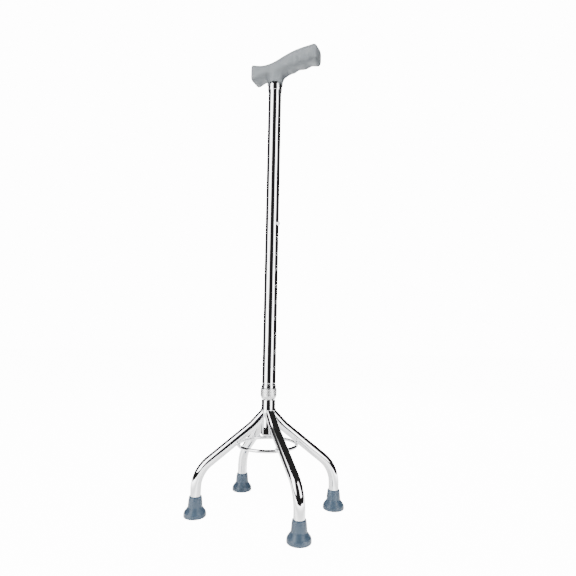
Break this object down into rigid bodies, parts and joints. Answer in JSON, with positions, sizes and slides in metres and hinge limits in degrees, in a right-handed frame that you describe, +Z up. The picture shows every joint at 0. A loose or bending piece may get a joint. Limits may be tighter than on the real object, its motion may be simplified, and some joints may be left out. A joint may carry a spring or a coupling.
{
  "type": "quad walking cane",
  "caption": "Four-footed walking cane: telescopic chromed shaft with snap button and knurled lock ring, T-shaped moulded grip, splayed bent-tube base with brace ring and rubber tips.",
  "frame": {"origin": "on the floor under the shaft's axis, at the middle of the four feet", "axes": "+Z up along the shaft; +X along the base's long side, under the grip's long end; +Y to the left"},
  "size_m": [0.2, 0.1584, 0.7202],
  "materials": {
    "grip_grey": "satin moulded plastic with a fine texture",
    "nylon": "natural nylon",
    "chrome_plate": "bright chrome plate on steel tube",
    "satin_knurl": "satin plated, diamond knurled",
    "steel_plain": "drawn steel, zinc plated",
    "spring_steel": "tempered strip",
    "button_steel": "plated and polished",
    "weld": "weld bead under chrome plate",
    "tip_rubber": "blue-grey rubber, matt"
  },
  "bodies": {
    "base": {"inner_tube": "steel_plain", "guide_bush": "nylon", "hub_tube": "chrome_plate", "hub_plug": "chrome_plate", "brace_ring": "chrome_plate", "weld_beads": "weld", "spring_clip": "spring_steel", "leg_front_left": "chrome_plate", "leg_front_right": "chrome_plate", "leg_rear_left": "chrome_plate", "leg_rear_right": "chrome_plate", "tip_front_left": "tip_rubber", "tip_front_right": "tip_rubber", "tip_rear_left": "tip_rubber", "tip_rear_right": "tip_rubber", "tip_washer_front_left": "steel_plain", "tip_washer_front_right": "steel_plain", "tip_washer_rear_left": "steel_plain", "tip_washer_rear_right": "steel_plain"},
    "upper": {"handle_grip": "grip_grey", "handle_core": "nylon", "handle_pin": "steel_plain", "handle_ferrule": "chrome_plate", "upper_tube": "chrome_plate", "lower_sleeve": "chrome_plate", "collet_bush": "nylon"},
    "compression": {"compression_ring": "nylon"},
    "lock": {"lock_ring": "satin_knurl"},
    "button": {"snap_button": "button_steel"}
  },
  "joints": [
    {"name": "height_slide", "type": "slide", "parent": "base", "child": "upper", "axis": [0, 0, 1], "range_m": [0, 0.2286], "deforming": ["snap_button"]},
    {"name": "button_press", "type": "slide", "parent": "base", "child": "button", "axis": [-1, 0, 0], "range_m": [0, 0.0041], "stiffness_N_per_m": 1200, "springref_m": -0.001, "deforming": ["spring_clip"]},
    {"name": "lock_ring_travel", "type": "slide", "parent": "upper", "child": "compression", "axis": [0, 0, -1], "range_m": [0, 0.0012]},
    {"name": "lock_ring_turn", "type": "hinge", "parent": "compression", "child": "lock", "pos_m": [0, 0, 0.175], "axis": [0, 0, -1], "range_deg": [0, 360]}
  ],
  "couplings": [
    {"joint": "lock_ring_turn", "follows": "lock_ring_travel", "rad_per_m": 5236}
  ]
}
